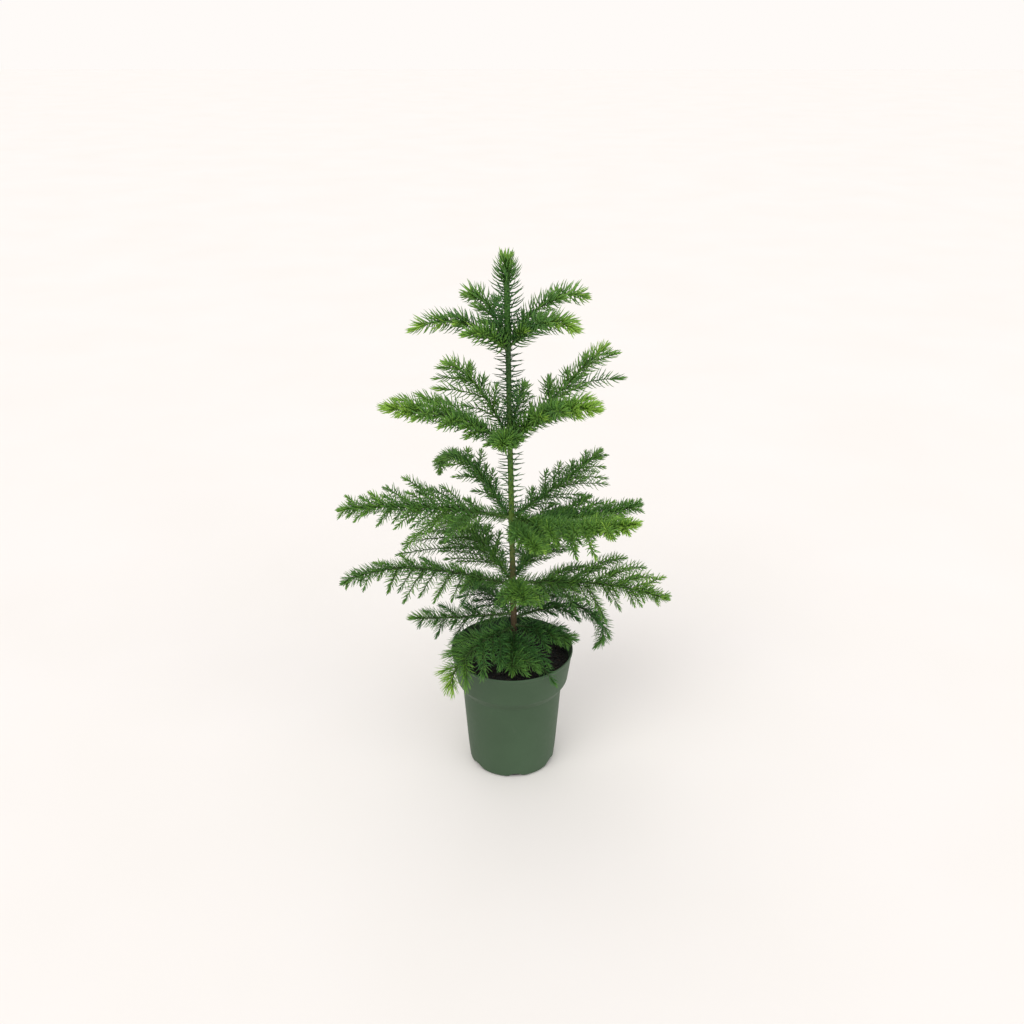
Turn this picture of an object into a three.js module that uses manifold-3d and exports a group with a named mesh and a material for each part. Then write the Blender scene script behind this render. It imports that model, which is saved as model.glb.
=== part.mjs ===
// Norfolk Island pine in a plastic nursery pot.
// Millimetres, +Z up. The origin is the centre of the pot's flat underside.
// Azimuths are in degrees: 0 is +X, 90 is +Y, the back of the plant.

import * as THREE from 'three';
import { mergeVertices } from 'three/addons/utils/BufferGeometryUtils.js';
import Module from 'manifold-3d';

const wasm = await Module();
wasm.setup();

// ---------- driving dimensions ----------

const CLEARANCE = 0.3;

// The longest stride in which a bending limb is followed.
const STRIDE = 2;

const POT = {
  height: 160,
  rimRadius: 76,
  lipHeight: 4,
  lipDepth: 1,
  collarRadius: 69.5,
  collarFoot: 120,
  bodyTop: 109,
  bodyTopRadius: 62,
  bodyLow: 25,
  bodyLowRadius: 56,
  footTop: 6,
  footRadius: 54,
  baseRadius: 49,
  wall: 1.6,
  floor: 2.4,
  segments: 28,
  holes: 6,
  holeRadius: 5,
  holeCircle: 38,
};

const SOIL = { level: 146, edgeDrop: 3, crownRadius: 30, sideGap: 0.45, segments: 24 };

const TRUNK = {
  baseX: 3,
  baseY: 10,
  topX: -6,
  topY: 0,
  topHeight: 630,
  radiusAtSoil: 3.6,
  radiusAtTop: 2.6,
  pointLength: 3,
  pointShare: 0.3,
  flareRadius: 5,
  flareHeight: 14,
  knotReach: 7,
  knotSwell: 0.5,
  sides: 8,
};

// A bough: its corners, its length between rings of them, how much thicker it is than the
// shoot it carries, and how far the joints of one tier lie above and below each other.
const BOUGH = { sides: 6, pitch: 14, thicker: 0.3, stagger: 3 };

// A shoot: its corners, how far its needles lean ahead of square, and how its tip closes up.
const SHOOT = { edges: 3, thinning: 0.6, lean: 52, leanAtTip: 24, tuftShare: 0.8 };

// Twigs stand in two ranks along a branch, from "first" to "last" as shares of its length.
// They point "forward" degrees off its heading, take up a part of its slope ("follow"), and
// differ by "scatter" degrees and by a share of their length ("variety"). Their length grows
// from "firstShare" to the whole and falls to "lastShare", sooner on a narrow branch, by
// "narrowPower".
const TWIG = {
  stem: 1.1,
  pitch: 12,
  needleShare: 0.9,
  forward: 54,
  scatter: 12,
  first: 0.22,
  last: 0.9,
  longestAt: 0.4,
  firstShare: 0.7,
  lastShare: 0.28,
  narrowPower: 0.45,
  bend: 15,
  follow: 0.6,
  variety: 0.15,
};

// What a branch is unless its tier says otherwise. It starts at its azimuth, climbs at
// "rise" degrees and bends to "tip" degrees; "hold" says how late it bends, and "lower" drops
// its foot on the trunk. "lift" raises all of its twigs, in degrees, and "roll" raises those
// on its left and lowers the others. "spread" lengthens its twigs, "bias" lengthens those on
// its left and shortens the others, and "narrow", up to 1, shortens those of its outer half.
const PLAIN_LIMB = { hold: 1.6, lower: 0, lift: 0, spread: 1, roll: 0, bias: 0, narrow: 0 };

// Each tier of branches: height of its joint on the trunk, size of its needles and twigs,
// and its branches.
const TIERS = {
  a: {
    height: 546,
    stem: 1.5,
    needle: 16,
    pitch: 8.5,
    boughShare: 0,
    twigs: 4,
    twigLength: 26,
    twigDroop: 0,
    branches: [
      { azimuth: 188, length: 108, rise: 35, tip: -26 },
      { azimuth: 124, length: 106, rise: 54, tip: -20, spread: 1.2 },
      { azimuth: 42, length: 132, rise: 41, tip: -28 },
      { azimuth: -22, length: 88, rise: 50, tip: -22, spread: 1.6, narrow: -1 },
      { azimuth: -140, length: 66, rise: 44, tip: 0, lower: 6, spread: 0.8 },
    ],
  },
  b: {
    height: 434,
    stem: 1.6,
    needle: 15,
    pitch: 9.5,
    boughShare: 0.12,
    twigs: 8,
    twigLength: 46,
    twigDroop: 0,
    branches: [
      { azimuth: 195, length: 152, rise: 33, tip: 4, lower: 8, spread: 1.2, narrow: -1 },
      { azimuth: 130, length: 143, rise: 50, tip: -6, bias: 0.2 },
      { azimuth: 80, length: 104, rise: 26, tip: 6, spread: 0.5 },
      { azimuth: 44, length: 178, rise: 28, tip: 25, lift: 4, spread: 1.4, bias: -0.25 },
      { azimuth: -25, length: 117, rise: 42, tip: 0, spread: 1.15, narrow: -1 },
      { azimuth: -100, length: 62, rise: 24, tip: 0, spread: 0.6 },
    ],
  },
  c: {
    height: 332,
    stem: 1.6,
    needle: 12,
    pitch: 11,
    boughShare: 0.14,
    twigs: 10,
    twigLength: 66,
    twigDroop: -4,
    branches: [
      { azimuth: 182, length: 203, rise: 11, tip: -8, lift: 2, spread: 1.2, roll: -18, narrow: 1 },
      { azimuth: 130, length: 175, rise: 39, tip: -84, hold: 2.6, spread: 0.6 },
      { azimuth: 40, length: 152, rise: 16, tip: 22, lift: 4, spread: 0.95, bias: -0.15 },
      { azimuth: 8, length: 156, rise: 0, tip: 12, roll: 8 },
      { azimuth: -36, length: 175, rise: -3, tip: 26, hold: 0.8, bias: -0.1, narrow: -0.6 },
      { azimuth: -72, length: 96, rise: 10, tip: 0, lower: 6, spread: 0.6, bias: 0.2 },
    ],
  },
  d: {
    height: 249,
    stem: 1.6,
    needle: 12,
    pitch: 11,
    boughShare: 0.14,
    twigs: 10,
    twigLength: 64,
    twigDroop: -12,
    branches: [
      {
        azimuth: 187,
        length: 212,
        rise: 18,
        tip: -31,
        hold: 2.6,
        lower: 9,
        spread: 0.62,
        roll: -32,
        bias: 0.3,
        narrow: -1,
      },
      { azimuth: 128, length: 150, rise: 30, tip: -12, lift: 4, spread: 1.35, bias: 0.3 },
      { azimuth: 62, length: 170, rise: 14, tip: -4, lift: 4 },
      { azimuth: -5, length: 189, rise: 6, tip: -20, lift: -4, spread: 1.25, roll: 18, bias: 0.32 },
      { azimuth: -78, length: 66, rise: 12, tip: -6, spread: 0.7 },
    ],
  },
  e: {
    height: 200,
    stem: 1.4,
    needle: 12,
    pitch: 10,
    boughShare: 0.14,
    twigs: 7,
    twigLength: 50,
    twigDroop: -10,
    branches: [
      { azimuth: 186, length: 124, rise: -2, tip: 4, spread: 0.6, roll: -26, narrow: -1 },
      { azimuth: 118, length: 125, rise: 8, tip: -20 },
      { azimuth: 52, length: 130, rise: 4, tip: -20 },
      { azimuth: 6, length: 156, rise: 17, tip: -130, hold: 2.3, spread: 0.8 },
      { azimuth: -14, length: 76, rise: -4, tip: -14, lower: 16, spread: 0.8 },
      { azimuth: -92, length: 72, rise: -4, tip: -20, lower: 20, lift: 10, spread: 1.1, bias: 0.4 },
      { azimuth: -134, length: 126, rise: 5, tip: -68, hold: 2.2, lower: 16, spread: 1.1, bias: 0.2 },
    ],
  },
};

// Needles that stand on the bare trunk between two tiers, and on the leading shoot.
const SLEEVE = {
  edges: 6,
  thickness: 1.4,
  pitch: 10,
  lean: 62,
  runs: {
    trunk_needles_upper: { from: 452, to: 532, needle: 16 },
    trunk_needles_middle: { from: 350, to: 420, needle: 14 },
    trunk_needles_lower: { from: 268, to: 318, needle: 12 },
  },
};

const LEADER = {
  from: 566,
  top: 652,
  edges: 6,
  radius: 4.1,
  tipRadius: 3.5,
  pitch: 9,
  needle: 18,
  lean: 54,
  leanAtTip: 20,
};

const FINISH = {
  trunk: { color: 0x6b5a2c, roughness: 0.8 },
  bough: { color: 0x5f6a2c, roughness: 0.8 },
  needles: { color: 0x3f7a2a, roughness: 0.7 },
  leader: { color: 0x4f9030, roughness: 0.7 },
  pot: { color: 0x5b6f5a, roughness: 0.55 },
  soil: { color: 0x241f1a, roughness: 1 },
};

// ---------- helpers ----------

const { degToRad: radians, lerp } = THREE.MathUtils;

// The faces of a single needle: its foot's three corners and its tip.
const NEEDLE_FACES = [
  [0, 2, 1],
  [0, 1, 3],
  [1, 2, 3],
  [2, 0, 3],
];

function direction(azimuth, elevation) {
  const a = radians(azimuth);
  const e = radians(elevation);
  return new THREE.Vector3(Math.cos(e) * Math.cos(a), Math.cos(e) * Math.sin(a), Math.sin(e));
}

// A small generator of even random numbers, the same for every run.
function randomFrom(seed) {
  let state = seed >>> 0;
  return () => {
    state = (Math.imul(state, 1664525) + 1013904223) >>> 0;
    return state / 4294967296;
  };
}

function trunkAt(height) {
  const share = (height - SOIL.level) / (TRUNK.topHeight - SOIL.level);
  return new THREE.Vector3(
    lerp(TRUNK.baseX, TRUNK.topX, share),
    lerp(TRUNK.baseY, TRUNK.topY, share),
    height,
  );
}

function trunkRadius(height) {
  const share = (height - SOIL.level) / (TRUNK.topHeight - SOIL.level);
  const flare = Math.max(0, 1 - (height - SOIL.level) / TRUNK.flareHeight);
  const swellings = Object.values(TIERS).map((tier) => {
    const away = Math.abs(height - tier.height) / TRUNK.knotReach;
    return TRUNK.knotSwell * Math.max(0, 1 - away * away);
  });
  const plain = lerp(TRUNK.radiusAtSoil, TRUNK.radiusAtTop, share);
  return plain + (TRUNK.flareRadius - TRUNK.radiusAtSoil) * flare ** 2 + Math.max(...swellings);
}

function elevationAt(limb, distance) {
  return limb.rise + (limb.tip - limb.rise) * (distance / limb.length) ** limb.hold;
}

// Points at the given distances, in rising order, along a limb that starts at "root".
function limbPoints(root, limb, distances) {
  const place = root.clone();
  let travelled = 0;
  return distances.map((distance) => {
    while (travelled < distance) {
      const stride = Math.min(STRIDE, distance - travelled);
      const elevation = elevationAt(limb, travelled + stride / 2);
      place.addScaledVector(direction(limb.azimuth, elevation), stride);
      travelled += stride;
    }
    return place.clone();
  });
}

function evenly(from, to, pitch) {
  const count = Math.max(2, Math.round((to - from) / pitch));
  return Array.from({ length: count + 1 }, (_, i) => lerp(from, to, i / count));
}

// Turns along a row of points: at each, the way ahead and a direction square to it.
function framesAlong(points) {
  const last = points.length - 1;
  const ways = points.map((_, i) => {
    const before = points[Math.max(0, i - 1)];
    const after = points[Math.min(last, i + 1)];
    return after.clone().sub(before).normalize();
  });
  const upright = Math.abs(ways[0].z) > 0.9 ? new THREE.Vector3(0, 1, 0) : new THREE.Vector3(0, 0, 1);
  let side = new THREE.Vector3().crossVectors(ways[0], upright);
  return ways.map((ahead) => {
    side = side.clone().addScaledVector(ahead, -side.dot(ahead)).normalize();
    return { ahead, side };
  });
}

// The direction square to a frame's way ahead, turned by an angle about it.
function outward({ ahead, side }, angle) {
  return side.clone().applyAxisAngle(ahead, angle);
}

// ---------- solids ----------

function solidFrom(vertices, triangles) {
  const vertProperties = new Float32Array(vertices.flatMap((v) => v.toArray()));
  const triVerts = new Uint32Array(triangles.flat());
  return new wasm.Manifold(new wasm.Mesh({ numProp: 3, vertProperties, triVerts }));
}

function solidOf(geometry) {
  const bare = geometry.clone();
  bare.deleteAttribute('normal');
  bare.deleteAttribute('uv');
  const { attributes, index } = mergeVertices(bare, 1e-4);
  const vertProperties = new Float32Array(attributes.position.array);
  const triVerts = new Uint32Array(index.array);
  return new wasm.Manifold(new wasm.Mesh({ numProp: 3, vertProperties, triVerts }));
}

// The largest body of a solid, without the slivers that joining leaves.
function largestBody(solid) {
  const bodies = solid.simplify(0.01).decompose();
  return bodies.reduce((best, body) => (body.volume() > best.volume() ? body : best));
}

function meshOf(name, solid, finish) {
  const { vertProperties, triVerts } = solid.getMesh();
  const geometry = new THREE.BufferGeometry();
  geometry.setAttribute('position', new THREE.BufferAttribute(new Float32Array(vertProperties), 3));
  geometry.setIndex(new THREE.BufferAttribute(new Uint32Array(triVerts), 1));
  geometry.computeVertexNormals();
  const material = new THREE.MeshStandardMaterial({ metalness: 0, ...finish });
  const mesh = new THREE.Mesh(geometry, material);
  mesh.name = name;
  return mesh;
}

// Solids that are in place, each with the node and the shoot that it belongs to.
const placed = [];

function place(node, solid, shoot = node) {
  placed.push({ node, shoot, solid, box: solid.boundingBox() });
  return solid;
}

function boxesApart(one, other) {
  return [0, 1, 2].some((axis) => {
    const above = one.min[axis] - other.max[axis];
    const below = other.min[axis] - one.max[axis];
    return Math.max(above, below) > CLEARANCE;
  });
}

// Whether a solid keeps its clearance to all that is in place but its own.
function isClear(solid, isOwn) {
  const box = solid.boundingBox();
  return placed.every((other) => {
    if (isOwn(other) || boxesApart(box, other.box)) return true;
    return solid.minGap(other.solid, 2 * CLEARANCE) >= CLEARANCE;
  });
}

// Triangles of a closed tube: rings of corners one after another, with flat ends.
function tubeTriangles(rings, sides) {
  const triangles = [];
  for (let ring = 0; ring + 1 < rings; ring++) {
    for (let k = 0; k < sides; k++) {
      const a = ring * sides + k;
      const b = ring * sides + ((k + 1) % sides);
      triangles.push([a, b, a + sides], [b, b + sides, a + sides]);
    }
  }
  const last = (rings - 1) * sides;
  for (let k = 1; k + 1 < sides; k++) {
    triangles.push([0, k + 1, k], [last, last + k, last + k + 1]);
  }
  return triangles;
}

// A round limb through the points, from one radius to another.
function limbSolid(points, fromRadius, toRadius) {
  const frames = framesAlong(points);
  const vertices = points.flatMap((point, i) => {
    const radius = lerp(fromRadius, toRadius, i / (points.length - 1));
    return Array.from({ length: BOUGH.sides }, (_, k) => {
      const out = outward(frames[i], (2 * Math.PI * k) / BOUGH.sides);
      return point.clone().addScaledVector(out, radius);
    });
  });
  return solidFrom(vertices, tubeTriangles(points.length, BOUGH.sides));
}

// A shoot that ends in a point. Each ring of corners is turned half a step from the last,
// and a needle stands out of every second face between two rings, where it has room.
function shootSolid(shoot, points, shape, bare = false) {
  const { edges, radius, tipRadius, needle } = shape;
  const frames = framesAlong(points);
  const rings = points.length - 1;
  const corner = (ring, k) => ring * edges + (k % edges);
  const outAt = (ring, k) => outward(frames[ring], (2 * Math.PI * (k + ring / 2)) / edges);
  const vertices = [];
  const triangles = [];
  const isOwn = (other) => other.shoot === shoot;
  for (let ring = 0; ring < rings; ring++) {
    const reach = lerp(radius, tipRadius, ring / rings);
    for (let k = 0; k < edges; k++) {
      vertices.push(points[ring].clone().addScaledVector(outAt(ring, k), reach));
    }
  }
  for (let ring = 0; ring + 1 < rings; ring++) {
    const tuft = Math.max(0, (ring + 1) / rings - SHOOT.tuftShare) / (1 - SHOOT.tuftShare);
    const lean = radians(lerp(shape.lean, shape.leanAtTip, tuft));
    for (let k = 0; k < edges; k++) {
      const foot = [corner(ring, k), corner(ring, k + 1), corner(ring + 1, k)];
      triangles.push([foot[2], foot[1], corner(ring + 1, k + 1)]);
      const tip = new THREE.Vector3();
      for (const i of foot) tip.addScaledVector(vertices[i], 1 / 3);
      tip.addScaledVector(outAt(ring + 1, k), needle * Math.sin(lean));
      tip.addScaledVector(frames[ring].ahead, needle * Math.cos(lean));
      const corners = [...foot.map((i) => vertices[i]), tip];
      const room = !bare && isClear(solidFrom(corners, NEEDLE_FACES), isOwn);
      if (!room) {
        triangles.push(foot);
        continue;
      }
      const [a, b, c] = foot;
      const end = vertices.push(tip) - 1;
      triangles.push([a, b, end], [b, c, end], [c, a, end]);
    }
  }
  const end = vertices.push(points[rings]) - 1;
  for (let k = 0; k < edges; k++) {
    triangles.push([corner(rings - 1, k), corner(rings - 1, k + 1), end]);
    if (k > 0 && k + 1 < edges) triangles.push([0, k + 1, k]);
  }
  return solidFrom(vertices, triangles);
}

// ---------- pot and soil ----------

// Corners of the pot's outside, as radius and height, from the foot to the rim.
function potOutline() {
  const lipFoot = POT.height - POT.lipHeight;
  const roundFoot = [0, 0.5, 1].map((share) => {
    const turn = (share * Math.PI) / 2;
    const radius = lerp(POT.baseRadius, POT.footRadius, Math.sin(turn));
    return [radius, POT.footTop * (1 - Math.cos(turn))];
  });
  return [
    ...roundFoot,
    [POT.bodyLowRadius, POT.bodyLow],
    [POT.bodyTopRadius, POT.bodyTop],
    [POT.collarRadius, POT.collarFoot],
    [POT.rimRadius - POT.lipDepth, lipFoot],
    [POT.rimRadius, lipFoot + POT.lipDepth],
    [POT.rimRadius, POT.height],
  ];
}

// The radius of the pot's inside at a height.
function insideRadius(height) {
  const outline = potOutline();
  const above = Math.max(1, outline.findIndex((corner) => corner[1] >= height));
  const [[lowRadius, low], [highRadius, high]] = [outline[above - 1], outline[above]];
  return THREE.MathUtils.mapLinear(height, low, high, lowRadius, highRadius) - POT.wall;
}

function turned(profile, segments) {
  const points = profile.map(([radius, height]) => new THREE.Vector2(radius, height));
  return solidOf(new THREE.LatheGeometry(points, segments).rotateX(Math.PI / 2));
}

function potSolid() {
  const levels = [POT.height, POT.collarFoot, POT.bodyTop, POT.bodyLow, POT.footTop, POT.floor];
  const inside = levels.map((height) => [insideRadius(height), height]);
  let pot = turned([[0, 0], ...potOutline(), ...inside, [0, POT.floor]], POT.segments);
  for (let i = 0; i < POT.holes; i++) {
    const angle = (2 * Math.PI * i) / POT.holes - Math.PI / 2;
    const hole = new THREE.CylinderGeometry(POT.holeRadius, POT.holeRadius, 4 * POT.floor, 8);
    hole.rotateX(Math.PI / 2);
    hole.translate(POT.holeCircle * Math.cos(angle), POT.holeCircle * Math.sin(angle), 0);
    pot = pot.subtract(solidOf(hole));
  }
  return pot;
}

function soilSolid() {
  const bottom = POT.floor + CLEARANCE;
  const edge = SOIL.level - SOIL.edgeDrop;
  const levels = [bottom, POT.footTop, POT.bodyLow, POT.bodyTop, POT.collarFoot, edge];
  const side = levels.map((height) => [insideRadius(height) - SOIL.sideGap, height]);
  const top = [[SOIL.crownRadius, SOIL.level], [0, SOIL.level]];
  return turned([[0, bottom], ...side, ...top], SOIL.segments);
}

// ---------- trunk and the needles that stand on it ----------

// The trunk, or, with a margin, the space that others leave it.
function trunkSolid(margin = 0) {
  const foot = SOIL.level + CLEARANCE;
  const heights = [foot, foot + TRUNK.flareHeight / 2, foot + TRUNK.flareHeight];
  for (const { height } of Object.values(TIERS).reverse()) {
    heights.push(height - TRUNK.knotReach, height, height + TRUNK.knotReach);
  }
  heights.push(TRUNK.topHeight - TRUNK.pointLength, TRUNK.topHeight);
  const vertices = heights.flatMap((height) => {
    const narrowing = height === TRUNK.topHeight ? TRUNK.pointShare : 1;
    const radius = trunkRadius(height) * narrowing + margin;
    return Array.from({ length: TRUNK.sides }, (_, k) => {
      const angle = (2 * Math.PI * k) / TRUNK.sides;
      const out = new THREE.Vector3(Math.cos(angle), Math.sin(angle), 0);
      return trunkAt(height).addScaledVector(out, radius);
    });
  });
  for (const end of [0, heights.length - 1]) {
    const shift = end === 0 ? -margin : margin;
    for (let k = 0; k < TRUNK.sides; k++) vertices[end * TRUNK.sides + k].z += shift;
  }
  return solidFrom(vertices, tubeTriangles(heights.length, TRUNK.sides));
}

function sleeveShape({ from, needle }) {
  const radius = trunkRadius(from) + SLEEVE.thickness;
  return { ...SLEEVE, radius, tipRadius: radius, leanAtTip: SLEEVE.lean, needle };
}

// ---------- branches ----------

const trunkSpace = trunkSolid(CLEARANCE);

// Every branch: where it starts, and how much of it is bough before the needles begin.
// Neighbours start a little above and below each other, and the last one between them.
function branchesOf([letter, tier]) {
  const last = tier.branches.length - 1;
  return tier.branches.map((own, i) => {
    const limb = { ...PLAIN_LIMB, ...own };
    const alternate = i % 2 === 0 ? 1 : -1;
    const shift = i === last ? 0 : alternate * BOUGH.stagger;
    const root = trunkAt(tier.height + shift - limb.lower);
    const boughLength = tier.boughShare * limb.length;
    return { id: `${letter}${i + 1}`, tier, limb, root, boughLength };
  });
}

function boughSolid({ tier, limb, root, boughLength }) {
  const points = limbPoints(root, limb, evenly(0, boughLength, BOUGH.pitch));
  const whole = limbSolid(points, tier.stem + BOUGH.thicker, tier.stem);
  return largestBody(whole.subtract(trunkSpace));
}

// The branch's own stem beyond its bough, with needles or bare.
function stemSolid({ id, tier, limb, root, boughLength }, bare) {
  const start = boughLength > 0 ? boughLength + CLEARANCE : 0;
  const points = limbPoints(root, limb, evenly(start, limb.length, tier.pitch));
  const shape = {
    ...SHOOT,
    radius: tier.stem,
    tipRadius: tier.stem * SHOOT.thinning,
    needle: tier.needle,
  };
  const stem = shootSolid(`foliage_${id}`, points, shape, bare);
  return boughLength > 0 ? stem : largestBody(stem.subtract(trunkSpace));
}

// A twig's length as a share of the longest, by its place along the branch.
function twigShare(place, narrow) {
  const { first, last, longestAt } = TWIG;
  if (place < longestAt) return lerp(TWIG.firstShare, 1, (place - first) / (longestAt - first));
  const outward = (place - longestAt) / (last - longestAt);
  return lerp(1, TWIG.lastShare, outward ** lerp(1, TWIG.narrowPower, narrow));
}

// Twigs to the left and right by turns, as the points and the shape of each. One that would
// touch another part is skipped.
function twigsOf({ id, tier, limb, root }, random) {
  const node = `foliage_${id}`;
  const shape = {
    ...SHOOT,
    radius: TWIG.stem,
    tipRadius: TWIG.stem * SHOOT.thinning,
    needle: tier.needle * TWIG.needleShare,
  };
  const twigs = [];
  for (let i = 0; i < tier.twigs; i++) {
    const share = lerp(TWIG.first, TWIG.last, i / (tier.twigs - 1));
    const distance = share * limb.length;
    const scatter = lerp(-TWIG.scatter, TWIG.scatter, random());
    const variety = lerp(1 - TWIG.variety, 1 + TWIG.variety, random());
    const hand = i % 2 === 0 ? 1 : -1;
    const slope = TWIG.follow * elevationAt(limb, distance);
    const level = slope + tier.twigDroop + limb.lift + hand * limb.roll + scatter;
    const spread = limb.spread * (1 + hand * limb.bias);
    const twig = {
      azimuth: limb.azimuth + hand * TWIG.forward,
      length: tier.twigLength * spread * twigShare(share, limb.narrow) * variety,
      rise: level + TWIG.bend,
      tip: level - TWIG.bend,
      hold: 1,
    };
    const [foot] = limbPoints(root, limb, [distance]);
    const points = limbPoints(foot, twig, evenly(0, twig.length, TWIG.pitch));
    const shoot = `${node}_twig_${i}`;
    const bare = shootSolid(shoot, points, shape, true);
    if (!isClear(bare, (other) => other.node === node)) continue;
    place(node, bare, shoot);
    twigs.push({ shoot, points, shape });
  }
  return twigs;
}

// ---------- the plant and its pot ----------

const plant = new THREE.Group();
const branches = Object.entries(TIERS).flatMap(branchesOf);

function add(name, solid, finish) {
  plant.add(meshOf(name, solid, finish));
}

// Stretches of needles round the trunk, bare or with their needles.
function sleeveSolids(bare) {
  const runs = Object.entries(SLEEVE.runs).map(([name, run]) => {
    const heights = evenly(run.from, run.to, SLEEVE.pitch);
    return [name, shootSolid(name, heights.map(trunkAt), sleeveShape(run), bare)];
  });
  const leaderHeights = evenly(LEADER.from, LEADER.top, LEADER.pitch);
  runs.push(['leader', shootSolid('leader', leaderHeights.map(trunkAt), LEADER, bare)]);
  return runs.map(([name, solid]) => [name, largestBody(solid.subtract(trunkSpace))]);
}

add('pot', place('pot', potSolid()), FINISH.pot);
add('soil', place('soil', soilSolid()), FINISH.soil);
add('trunk', place('trunk', trunkSolid()), FINISH.trunk);
for (const branch of branches.filter(({ boughLength }) => boughLength > 0)) {
  const name = `bough_${branch.id}`;
  add(name, place(name, boughSolid(branch)), FINISH.bough);
}

// Bare stems and twigs come first, so that no needle grows where one of them will be.
for (const branch of branches) place(`foliage_${branch.id}`, stemSolid(branch, true));
for (const [name, solid] of sleeveSolids(true)) place(name, solid);
for (const [i, branch] of branches.entries()) branch.twigs = twigsOf(branch, randomFrom(i + 1));
for (const [name, solid] of sleeveSolids(false)) add(name, place(name, solid), FINISH.leader);
for (const branch of branches) {
  branch.stem = place(`foliage_${branch.id}`, stemSolid(branch, false));
}
for (const { id, stem, twigs } of branches) {
  const name = `foliage_${id}`;
  const grown = twigs.map(({ shoot, points, shape }) => {
    return place(name, shootSolid(shoot, points, shape), shoot);
  });
  add(name, largestBody(wasm.Manifold.union([stem, ...grown])), FINISH.needles);
}

export default plant;
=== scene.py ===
import math
from dataclasses import dataclass
from itertools import product

import bpy
import numpy as np
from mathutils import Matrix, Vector


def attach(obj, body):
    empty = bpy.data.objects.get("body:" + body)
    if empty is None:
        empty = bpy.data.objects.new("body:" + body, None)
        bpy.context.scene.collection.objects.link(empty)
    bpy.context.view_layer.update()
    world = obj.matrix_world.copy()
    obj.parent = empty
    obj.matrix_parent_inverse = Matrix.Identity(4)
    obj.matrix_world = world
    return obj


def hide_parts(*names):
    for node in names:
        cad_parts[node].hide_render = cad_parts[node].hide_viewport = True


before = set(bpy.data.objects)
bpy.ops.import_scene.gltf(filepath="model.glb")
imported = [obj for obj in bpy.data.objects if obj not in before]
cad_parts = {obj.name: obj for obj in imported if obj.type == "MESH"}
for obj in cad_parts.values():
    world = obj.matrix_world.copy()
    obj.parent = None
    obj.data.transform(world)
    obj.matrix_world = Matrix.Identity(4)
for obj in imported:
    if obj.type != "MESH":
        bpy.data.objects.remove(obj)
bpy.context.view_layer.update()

# Lengths are in millimetres, and become metres when a mesh is made. The camera, the floor and
# the materials are in metres. Azimuths are in degrees: 0 is +X, 90 is +Y, the plant's back.
MM = 0.001

# ---- sizes that the solids share ----

POT_HEIGHT = 160
RIM_RADIUS = 76
LIP_HEIGHT = 4
LIP_DEPTH = 1
COLLAR_RADIUS = 69.5
COLLAR_FOOT = 120
BODY_TOP = 109
BODY_TOP_RADIUS = 62
BODY_LOW = 25
BODY_LOW_RADIUS = 56
FOOT_TOP = 6
FOOT_RADIUS = 54
BASE_RADIUS = 49
POT_WALL = 1.6
POT_FLOOR = 2.4
HOLES = 6
HOLE_RADIUS = 5
HOLE_CIRCLE = 38

SOIL_LEVEL = 146
SOIL_EDGE_DROP = 3
SOIL_CROWN_RADIUS = 30
SOIL_SIDE_GAP = 0.45
CLEARANCE = 0.3

TRUNK_BASE = (3, 10)
TRUNK_TOP = (-6, 0)
TRUNK_TOP_HEIGHT = 630
RADIUS_AT_SOIL = 3.6
RADIUS_AT_TOP = 2.6
FLARE_RADIUS = 5
FLARE_HEIGHT = 14
KNOT_REACH = 7
KNOT_SWELL = 0.5

BOUGH_THICKER = 0.3
BOUGH_STAGGER = 3
SHOOT_THINNING = 0.6
STRIDE = 2

TWIG_STEM = 1.1
TWIG_FORWARD = 54
TWIG_SCATTER = 12
TWIG_FIRST = 0.22
TWIG_LAST = 0.9
TWIG_LONGEST_AT = 0.4
TWIG_FIRST_SHARE = 0.7
TWIG_LAST_SHARE = 0.28
NARROW_POWER = 0.45
TWIG_BEND = 15
TWIG_FOLLOW = 0.6
TWIG_VARIETY = 0.15


@dataclass
class Limb:
    """A branch or twig. It climbs at "rise" and bends to "tip" degrees, late where "hold" is
    high. "lower" drops its foot. "lift" raises its twigs, in degrees, and "roll" those on its
    left while it lowers the others. "spread" lengthens them all, and "bias" those on its left
    at the others' cost. "narrow" shortens the outer ones, or keeps them long where it is below
    0. "bright" lightens it and lengthens the needles at its tips. "fullness" is its share of
    finer twigs and, by half, of needles."""

    azimuth: float
    length: float
    rise: float
    tip: float
    hold: float = 1.6
    lower: float = 0
    lift: float = 0
    spread: float = 1
    roll: float = 0
    bias: float = 0
    narrow: float = 0
    bright: float = 0
    fullness: float = 1

    def elevation(self, distance):
        return self.rise + (self.tip - self.rise) * (distance / self.length) ** self.hold


@dataclass
class Needles:
    """A tier's needles: their length, how many stand on a millimetre of branch and of twig, the
    tone of the old and of the youngest, from 0 (deep) to 1 (lime), the length of those at a tip
    as a share, and their breadth."""

    length: float
    on_stem: float
    on_twig: float
    tone: float
    tip_tone: float
    tip_share: float
    breadth: float


@dataclass
class Tier:
    """Branches at one height: their radius, how much of each is bare, its twigs, the longest of
    them, what is added to their slope in degrees, and how many finer twigs, which the solids
    leave out, it has for each of them."""

    height: float
    stem: float
    bough_share: float
    twigs: int
    twig_length: float
    droop: float
    finer: float
    needles: Needles
    branches: list


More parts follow.
